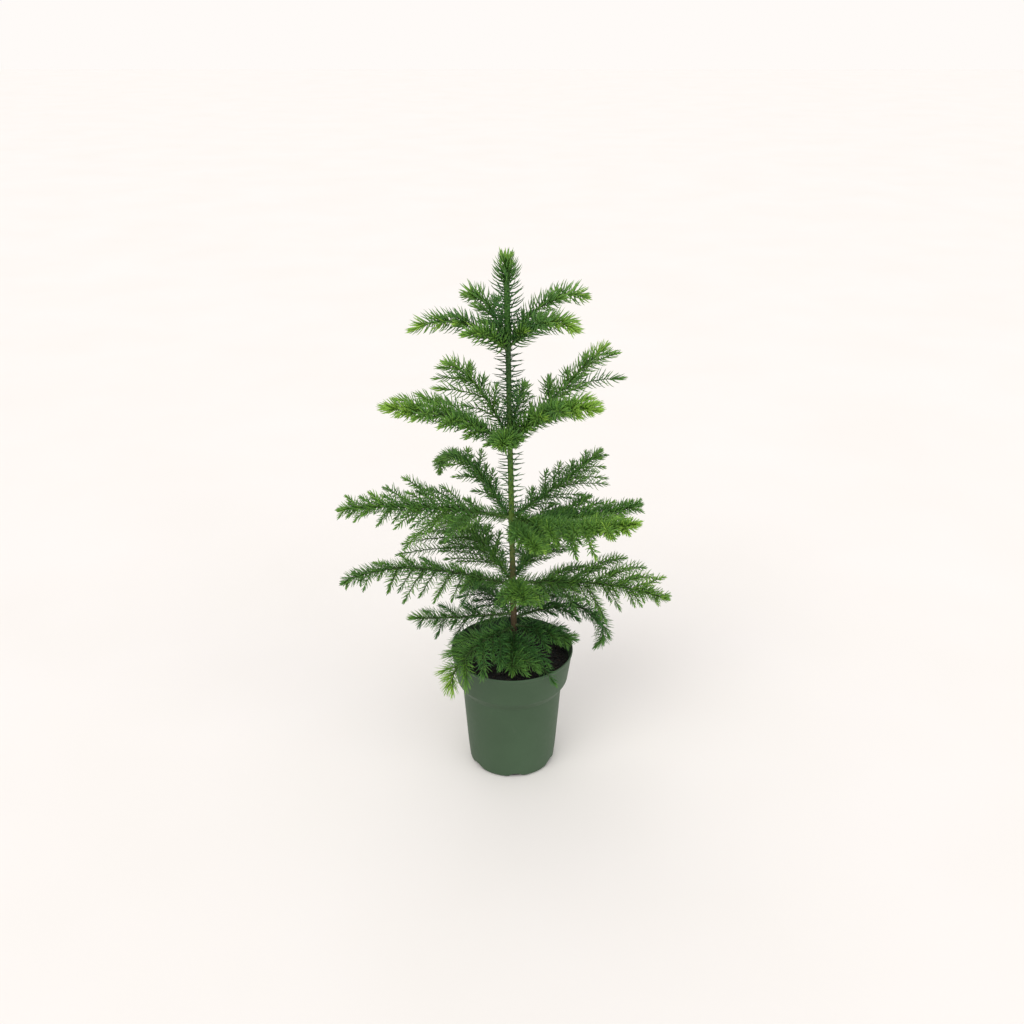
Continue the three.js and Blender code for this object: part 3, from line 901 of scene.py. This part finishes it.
def make_world():
    """Even light from all round. Behind the floor the camera sees the same pale cream."""
    world = bpy.data.worlds.new("studio")
    world.use_nodes = True
    tree = world.node_tree
    light = tree.nodes["Background"]
    light.inputs["Color"].default_value = WORLD_COLOUR
    light.inputs["Strength"].default_value = WORLD_STRENGTH
    seen = tree.nodes.new("ShaderNodeBackground")
    seen.inputs["Color"].default_value = (*linear(*BACKDROP), 1)
    path = tree.nodes.new("ShaderNodeLightPath")
    mixed = tree.nodes.new("ShaderNodeMixShader")
    tree.links.new(path.outputs["Is Camera Ray"], mixed.inputs[0])
    tree.links.new(light.outputs["Background"], mixed.inputs[1])
    tree.links.new(seen.outputs["Background"], mixed.inputs[2])
    tree.links.new(mixed.outputs["Shader"], tree.nodes["World Output"].inputs["Surface"])
    bpy.context.scene.world = world


def make_floor():
    reach = FLOOR_REACH
    corners = [(-reach, -reach, 0), (reach, -reach, 0), (reach, reach, 0), (-reach, reach, 0)]
    mesh = bpy.data.meshes.new("floor")
    mesh.from_pydata(corners, [], [(0, 1, 2, 3)])
    mesh.materials.append(floor_material())
    floor = place_object("floor", mesh)


# ---- trunk and boughs ----

TRUNK_SIDES = 28
TRUNK_PITCH = 1.4

# Scars where needles stood, in a spiral. Their half width is in radians, and they are left
# out beyond so many times their height.
SCARS_PER_MM = 0.85
SCAR_HEIGHT = 1.5
SCAR_HALF_WIDTH = 0.42
SCAR_RISE = 0.22
SCAR_REACH = 4

# Long ridges: how many in each layer, how far they wander over what length, and their height
# at a radius.
RIDGES = (3, 5, 7, 11)
RIDGE_WANDER = 0.8
RIDGE_LENGTH = (14, 30)
RIDGE_RISE = 0.05
RIDGE_RADIUS = 3

# The relief of the trunk's top is this much stronger than that of its foot.
YOUNG_RELIEF = 2.4

# Roots at the soil. They reach up by so many flare heights.
ROOTS = 5
ROOT_RISE = 0.9
ROOT_TURN = 0.7
ROOT_REACH = 2.2

BOUGH_SIDES = 12
BOUGH_PITCH = 1.2
BOUGH_RADIUS = 2
BOUGH_RELIEF = 0.6

# How far a bough runs on into its mass, and the swelling at its foot.
BOUGH_OVERLAP = 4
SWELLING_RISE = 0.9
SWELLING_AT = 2.5
SWELLING_LENGTH = 2.2


def relief(along, turn, length, radius, random, strength):
    """How far bark stands out at each distance along a limb and each turn round it."""
    scars = max(1, round(SCARS_PER_MM * length))
    places = (np.arange(scars) + 0.5) / scars * length
    turns = NEEDLE_TURN * np.arange(scars)
    surface = np.zeros((len(along), len(turn)))
    for place, angle in zip(places, turns):
        near = np.abs(along - place) < SCAR_REACH * SCAR_HEIGHT
        high = np.exp(-(((along[near] - place) / SCAR_HEIGHT) ** 2))
        wide = np.exp(-((turned_away(turn, angle) / SCAR_HALF_WIDTH) ** 2))
        surface[near] += SCAR_RISE * strength * np.outer(high, wide)
    for ridges in RIDGES:
        phase = random.uniform(0, ROUND)
        pace = random.uniform(*RIDGE_LENGTH)
        wander = RIDGE_WANDER * np.sin(along / pace + random.uniform(0, ROUND))
        ridge = np.sin(ridges * turn[None] + phase + column(wander))
        surface += RIDGE_RISE * strength * radius / RIDGE_RADIUS * ridge
    return surface


def make_trunk(bark):
    random = np.random.RandomState(SEEDS["trunk"])
    foot = SOIL_LEVEL + CLEARANCE
    heights = np.arange(foot, TRUNK_TOP_HEIGHT, TRUNK_PITCH)
    points = trunk_at(heights)
    ahead, side = trunk_ways(points)
    turn = turns_round(TRUNK_SIDES)
    along = heights - foot
    rough = relief(along, turn, along[-1], RIDGE_RADIUS, random, 1.0)
    rough *= column(lerp(1, YOUNG_RELIEF, along / along[-1]))
    flare = np.clip(1 - along / (ROOT_REACH * FLARE_HEIGHT), 0, 1)
    roots = column(flare**2) * ROOT_RISE * np.sin(ROOTS * turn + ROOT_TURN)[None]
    radii = column(trunk_radius(heights)) + rough + roots
    pile = Pile()
    add_tube(pile, points, side, np.cross(side, ahead), radii, TRUNK_SIDES)
    pile.make("trunk_bark", [bark], "bark", ["trunk"])


def make_boughs(name, letters, bark, slot):
    """The bare part of each branch, from inside the trunk to its mass."""
    random = np.random.RandomState(SEEDS["boughs"])
    pile = Pile()
    replaced = []
    turn = turns_round(BOUGH_SIDES)
    for branch, tier, limb, shoots in every_branch(letters):
        end = tier.bough_share * limb.length + BOUGH_OVERLAP
        along = np.arange(0, end, BOUGH_PITCH)
        points, _, side, up, radius = shoots[0].at(along)
        swelling = SWELLING_RISE * np.exp(-((along - SWELLING_AT) / SWELLING_LENGTH) ** 2)
        rough = relief(along, turn, end, BOUGH_RADIUS, random, BOUGH_RELIEF)
        add_tube(pile, points, side, up, column(radius + swelling) + rough, BOUGH_SIDES)
        replaced.append(f"bough_{branch}")
    pile.make(name, [bark], slot, replaced)


# ---- foliage ----

NEEDLE_SLOTS = {
    "a": "needles_young",
    "b": "needles_green",
    "c": "needles_green",
    "d": "needles_deep",
    "e": "needles_deep",
}
TWIG_SLOTS = {"upper": "green_bark", "lower": "bark"}
TWIG_SIDES = 6
STEM_PITCH = 3

# The leading shoot and its bud, by height on the trunk's line, thickened by needles' feet.
LEADER_FOOT = 550
LEADER_TOP = 632
LEADER_RADIUS = 3.7
LEADER_TIP_RADIUS = 3.0
LEADER_SIDES = 10
BUD_FOOT = 618
BUD_TOP = 642.5
BUD_RADIUS = 1.4
BUD_NEEDLES_BROADER = 1.1


def every_branch(letters):
    """Name, tier, limb and shoots of each branch of these tiers."""
    number = 0
    for letter, tier in TIERS.items():
        for index, limb in enumerate(tier.branches):
            number += 1
            if letter in letters:
                shoots = branch_shoots(tier, limb, index, number)
                yield f"{letter}{index + 1}", tier, limb, shoots


def add_stem(pile, shoot, sides, start=0):
    """The bare line of a shoot, from "start" millimetres along it on."""
    rings = max(4, round((shoot.length - start) / STEM_PITCH))
    along = np.linspace(start, shoot.length, rings)
    points, _, side, up, radius = shoot.at(along)
    add_tube(pile, points, side, up, radius, sides)


def make_foliage(needle_materials, twig_materials):
    twig_piles = {"upper": Pile(), "lower": Pile()}
    for letter in TIERS:
        random = np.random.RandomState(ord(letter))
        pile = Pile()
        replaced = []
        half = "upper" if letter in "abc" else "lower"
        for branch, tier, limb, shoots in every_branch(letter):
            for shoot in shoots:
                shoot.shade = random.normal(0, SPRAY_SCATTER)
                add_needles(pile, shoot, random, tier.needles.breadth)
                start = tier.bough_share * limb.length if shoot is shoots[0] else 0
                add_stem(twig_piles[half], shoot, TWIG_SIDES, start)
            replaced.append(f"foliage_{branch}")
        slot = NEEDLE_SLOTS[letter]
        pile.make(f"needles_{letter}", needle_materials, slot, replaced)
    for half, pile in twig_piles.items():
        pile.make(f"twigs_{half}", [twig_materials[half]], TWIG_SLOTS[half])


def make_leader(needle_materials, bark):
    """The bristly leading shoot and its tufted bud."""
    random = np.random.RandomState(SEEDS["leader"])
    looks = Looks(
        needle=19.5, density=1.6, tone=0.30, tip_tone=0.68, tip_share=0.85, young=28, tuft=0,
        lean=(60, 86), curl=(36, 36),
    )
    shoot = trunk_shoot(LEADER_FOOT, LEADER_TOP, looks)
    shoot.radii = lerp(LEADER_RADIUS, LEADER_TIP_RADIUS, shoot.along / shoot.length)
    bud_looks = Looks(
        needle=17, density=3.4, tone=0.54, tip_tone=0.84, tip_share=0.75, young=9, tuft=16,
        lean=(46, 82), curl=(32, 44),
    )
    bud = trunk_shoot(BUD_FOOT, BUD_TOP, bud_looks)
    bud.radii = lerp(LEADER_TIP_RADIUS, BUD_RADIUS, bud.along / bud.length)
    pile = Pile()
    add_needles(pile, shoot, random)
    add_needles(pile, bud, random, BUD_NEEDLES_BROADER)
    pile.make("needles_leader", needle_materials, "needles_young", ["leader"])
    stem = Pile()
    add_stem(stem, shoot, LEADER_SIDES)
    add_stem(stem, bud, LEADER_SIDES)
    stem.make("leader_stem", [bark], "green_bark")


def make_trunk_needles(needle_materials):
    """The needles that stand on the trunk between the tiers."""
    random = np.random.RandomState(SEEDS["trunk needles"])
    pile = Pile()
    for low, high, needle, density, tone in TRUNK_RUNS.values():
        looks = Looks(
            needle, density, tone, tone, tuft=0, lean=(88, 88), curl=(8, 8), closing=0
        )
        add_needles(pile, trunk_shoot(low, high, looks), random)
    pile.make("needles_on_trunk", needle_materials, "needles_green", list(TRUNK_RUNS))


# ---- pot ----

POT_SEGMENTS = 144
POT_PITCH = 5
EDGE_ROUNDING = 1.6
ROUNDING_SHARE = 0.45
FOOT_POINTS = 7
FLOOR_MIDDLE = 30

# Shallow notches in the edge of the pot's foot. They begin between two radii.
NOTCHES = 6
NOTCH_TURN = 0.085
NOTCH_RISE = 3.6
NOTCH_HALF_WIDTH = 8
NOTCH_FADE = 14
NOTCH_FROM = 40
NOTCH_FULL = 46

# The rim isn't quite round or level.
RIM_OVAL = 0.006
OVAL_TURN = 0.6
RIM_DIP = 0.7
DIP_TURN = 0.3

# How far a drain hole's cutter passes the floor on either side.
HOLE_SIDES = 32
CUTTER_MARGIN = 3.0


def towards(corner, other):
    """Where the rounding of a corner begins, on the way to another."""
    away = np.linalg.norm(other - corner)
    return corner + (other - corner) / away * min(EDGE_ROUNDING, ROUNDING_SHARE * away)


def rounded(profile, steps=4):
    """A profile with each inner corner rounded off."""
    done = [profile[0]]
    for before, corner, after in zip(profile, profile[1:], profile[2:]):
        a, b, c = (np.array(p, float) for p in (before, corner, after))
        start, end = towards(b, a), towards(b, c)
        for share in np.linspace(0, 1, steps):
            done.append(tuple(lerp(lerp(start, b, share), lerp(b, end, share), share)))
    done.append(profile[-1])
    return done


def divided(profile, pitch):
    """A profile with points added so that none are further apart than the pitch."""
    done = [profile[0]]
    for a, b in zip(profile, profile[1:]):
        count = max(1, math.ceil(math.dist(a, b) / pitch))
        for k in range(1, count + 1):
            done.append((lerp(a[0], b[0], k / count), lerp(a[1], b[1], k / count)))
    return done


def pot_outside():
    """Corners of the pot's outside, as radius and height, from the foot to the rim."""
    lip_foot = POT_HEIGHT - LIP_HEIGHT
    foot = []
    for turn in np.linspace(0, 1, FOOT_POINTS) * math.pi / 2:
        radius = lerp(BASE_RADIUS, FOOT_RADIUS, math.sin(turn))
        foot.append((radius, FOOT_TOP * (1 - math.cos(turn))))
    upper = [
        (BODY_LOW_RADIUS, BODY_LOW),
        (BODY_TOP_RADIUS, BODY_TOP),
        (COLLAR_RADIUS, COLLAR_FOOT),
        (RIM_RADIUS - LIP_DEPTH, lip_foot),
        (RIM_RADIUS, lip_foot + LIP_DEPTH),
        (RIM_RADIUS, POT_HEIGHT),
    ]
    return foot + upper


def inside_radius(height):
    """The radius of the pot's inside at each height."""
    radii, heights = zip(*pot_outside())
    return np.interp(height, heights, radii) - POT_WALL


def lathe(profile, segments):
    """Vertices, walls and end faces of a profile, turned round the axis from end to end."""
    radii, heights = np.array(profile[1:-1]).T
    turn = turns_round(segments)
    x = np.outer(radii, np.cos(turn))
    y = np.outer(radii, np.sin(turn))
    z = np.repeat(column(heights), segments, axis=1)
    rings = np.stack([x, y, z], axis=-1).reshape(-1, 3)
    ends = np.array([[0, 0, profile[0][1]], [0, 0, profile[-1][1]]], float)
    first, last = len(rings), len(rings) + 1
    top = (len(radii) - 1) * segments
    caps = []
    for k in range(segments):
        after = (k + 1) % segments
        caps += [[first, after, k], [last, top + k, top + after]]
    return np.vstack([rings, ends]), tube_walls(len(radii), segments), caps


def bend_pot(vertices):
    """Raises the edge of the pot's foot at each notch, and makes its rim a little oval and a
    little lower on one side."""
    x, y, z = vertices.T
    turn = np.arctan2(y, x)
    reach = np.hypot(x, y)
    outward = np.clip((reach - NOTCH_FROM) / (NOTCH_FULL - NOTCH_FROM), 0, 1)
    low = np.clip(1 - z / NOTCH_FADE, 0, 1) * outward
    for angle in turns_round(NOTCHES) - math.pi / 2 + NOTCH_TURN:
        around = turned_away(turn, angle) * reach
        z += NOTCH_RISE * low * np.exp(-((around / NOTCH_HALF_WIDTH) ** 4))
    high = np.clip((z - BODY_TOP) / (POT_HEIGHT - BODY_TOP), 0, 1) ** 2
    vertices[:, :2] *= column(1 - RIM_OVAL * high * (0.5 + 0.5 * np.cos(2 * turn + OVAL_TURN)))
    z -= RIM_DIP * high * (0.5 - 0.5 * np.cos(turn - DIP_TURN))


def make_pot(plastic):
    levels = (POT_HEIGHT, COLLAR_FOOT, BODY_TOP, BODY_LOW, FOOT_TOP, POT_FLOOR)
    inside = [(inside_radius(height), height) for height in levels]
    corners = [(FLOOR_MIDDLE, 0), *pot_outside(), *inside, (FLOOR_MIDDLE, POT_FLOOR)]
    wall = divided(rounded(corners), POT_PITCH)
    vertices, walls, caps = lathe([(0, 0), *wall, (0, POT_FLOOR)], POT_SEGMENTS)
    bend_pot(vertices)
    pile = Pile()
    pile.add(vertices, walls)
    pile.add_faces(caps)
    pot = pile.make("pot_shell", [plastic], "pot_plastic", ["pot"])
    cut_holes(pot)


def cut_holes(pot):
    """Cuts the drain holes through the pot's floor."""
    pile = Pile()
    for angle in turns_round(HOLES) - math.pi / 2:
        centre = np.array([HOLE_CIRCLE * math.cos(angle), HOLE_CIRCLE * math.sin(angle), 0])
        points = centre + np.outer([-CUTTER_MARGIN, POT_FLOOR + CUTTER_MARGIN], UP)
        side = np.array([(1, 0, 0)] * 2)
        up = np.array([(0, 1, 0)] * 2)
        add_tube(pile, points, side, up, np.array([HOLE_RADIUS] * 2), HOLE_SIDES)
    cutter = place_object("holes", pile.mesh("holes"))
    cut = pot.modifiers.new("holes", "BOOLEAN")
    cut.operation = "DIFFERENCE"
    cut.solver = "EXACT"
    cut.object = cutter
    bpy.context.view_layer.update()
    evaluated = pot.evaluated_get(bpy.context.evaluated_depsgraph_get())
    result = bpy.data.meshes.new_from_object(evaluated)
    pot.modifiers.clear()
    pot.data = result
    bpy.data.objects.remove(cutter)


# ---- soil ----

SOIL_SEGMENTS = 120
SOIL_RINGS = 44
SOIL_PITCH = 8
HAIR = 0.01

# The soil is uneven by waves, higher where they are longer, which calm down near its edge.
SOIL_WAVES = 46
LONGEST_WAVE = 26
SHORTEST_WAVE = 4
WAVE_POWER = 0.6
SOIL_UNEVENNESS = 1.1
CALM_WITHIN = 6
CALMEST = 0.2

# Crumbs, bits of bark and perlite: how many, the smallest and largest, and their material.
CHIP_KINDS = ((1500, 0.7, 1.7, 0), (420, 1.4, 3.4, 1), (60, 0.8, 1.5, 2))
CHIP_EDGE_GAP = 3
CHIP_AREA = (0.002, 1)
CHIP_BREADTH = (0.5, 0.9)
CHIP_THICKNESS = (0.3, 0.7)
CHIP_CORNER_VARIETY = (0.8, 1.2)
CHIP_TILT = 0.5
CHIP_RISE = 0.25

CHIP_CORNERS = unit(np.array(list(product((1.0, -1.0), repeat=3))))
CHIP_FACES = np.array([
    [0, 2, 3, 1], [4, 5, 7, 6], [0, 1, 5, 4], [2, 6, 7, 3], [0, 4, 6, 2], [1, 3, 7, 5],
])


def soil_lumps(x, y):
    """A sum of waves in all directions, about 1 high."""
    random = np.random.RandomState(SEEDS["soil"])
    total = np.zeros(np.shape(x))
    for _ in range(SOIL_WAVES):
        length = math.exp(random.uniform(math.log(SHORTEST_WAVE), math.log(LONGEST_WAVE)))
        heading = random.uniform(0, ROUND)
        along = x * math.cos(heading) + y * math.sin(heading)
        wave = np.sin(ROUND * along / length + random.uniform(0, ROUND))
        total += (length / LONGEST_WAVE) ** WAVE_POWER * wave
    return total / math.sqrt(SOIL_WAVES)


def soil_height(x, y):
    """The height of the soil's surface at a point."""
    reach = np.hypot(x, y)
    edge = inside_radius(SOIL_LEVEL) - SOIL_SIDE_GAP
    slope = np.clip((reach - SOIL_CROWN_RADIUS) / (edge - SOIL_CROWN_RADIUS), 0, 1)
    calm = np.clip((edge - reach) / CALM_WITHIN, CALMEST, 1)
    return SOIL_LEVEL - SOIL_EDGE_DROP * slope + SOIL_UNEVENNESS * soil_lumps(x, y) * calm


def make_soil(mix):
    edge_level = SOIL_LEVEL - SOIL_EDGE_DROP
    bottom = POT_FLOOR + CLEARANCE
    levels = (bottom, FOOT_TOP, BODY_LOW, BODY_TOP, COLLAR_FOOT, edge_level)
    side = [(inside_radius(height) - SOIL_SIDE_GAP, height) for height in levels]
    edge = side[-1][0]
    top = [(radius, SOIL_LEVEL) for radius in np.linspace(edge, 0, SOIL_RINGS)[1:]]
    profile = [(0, bottom), *divided(side, SOIL_PITCH), *top]
    vertices, walls, caps = lathe(profile, SOIL_SEGMENTS)
    on_top = vertices[:, 2] > edge_level - HAIR
    vertices[on_top, 2] = soil_height(vertices[on_top, 0], vertices[on_top, 1])
    pile = Pile()
    pile.add(vertices, walls)
    pile.add_faces(caps)
    pile.make("soil_body", [mix], "potting_mix", ["soil"])


def rotation(spin, tilt):
    """A turn round Z by "spin", after one round X by "tilt", for rows of points."""
    c, s = math.cos(spin), math.sin(spin)
    about_z = np.array([[c, s, 0], [-s, c, 0], [0, 0, 1]])
    c, s = math.cos(tilt), math.sin(tilt)
    about_x = np.array([[1, 0, 0], [0, c, s], [0, -s, c]])
    return about_x @ about_z


def make_chips(mixes):
    """Uneven blocks, half sunk in the soil."""
    random = np.random.RandomState(SEEDS["chips"])
    pile = Pile()
    edge = inside_radius(SOIL_LEVEL) - CHIP_EDGE_GAP
    for count, smallest, largest, kind in CHIP_KINDS:
        for _ in range(count):
            reach = edge * math.sqrt(random.uniform(*CHIP_AREA))
            angle = random.uniform(0, ROUND)
            x, y = reach * math.cos(angle), reach * math.sin(angle)
            size = random.uniform(smallest, largest)
            stretch = np.array([1, random.uniform(*CHIP_BREADTH), random.uniform(*CHIP_THICKNESS)])
            corners = CHIP_CORNERS * stretch * size * random.uniform(*CHIP_CORNER_VARIETY, (8, 1))
            spin, tilt = random.uniform(0, ROUND), random.normal(0, CHIP_TILT)
            centre = np.array([x, y, soil_height(x, y) + CHIP_RISE * size])
            pile.add(corners @ rotation(spin, tilt) + centre, CHIP_FACES, kind)
    pile.make("soil_bits", mixes, "potting_mix")


# ---- everything ----

bpy.context.scene.view_settings.view_transform = "Standard"
make_camera()
make_world()
for light in LIGHTS:
    make_sun(*light)
make_floor()

NEEDLE_MATERIALS = [needle_material(name, colour) for name, colour in PALETTE.items()]
TWIG_MATERIALS = {
    "upper": twig_material("twig_green", (92, 124, 52), (60, 88, 36)),
    "lower": twig_material("twig_olive", (70, 96, 42), (52, 66, 34)),
}

make_trunk(trunk_material())
make_boughs("boughs_upper", "bc", TWIG_MATERIALS["upper"], "green_bark")
make_boughs("boughs_lower", "de", TWIG_MATERIALS["lower"], "bark")
make_foliage(NEEDLE_MATERIALS, TWIG_MATERIALS)
make_leader(NEEDLE_MATERIALS, twig_material("twig_young", (72, 122, 34), (44, 88, 26)))
make_trunk_needles(NEEDLE_MATERIALS)
make_pot(pot_material())
make_soil(soil_material("potting_mix", (7, 7, 8), (26, 23, 21), scale=260))
make_chips([
    soil_material("mix_crumbs", (7, 7, 8), (28, 24, 21), scale=500),
    soil_material("mix_bark", (22, 17, 15), (52, 40, 32), scale=380),
    soil_material("mix_perlite", (92, 88, 84), (124, 120, 114), scale=600),
])
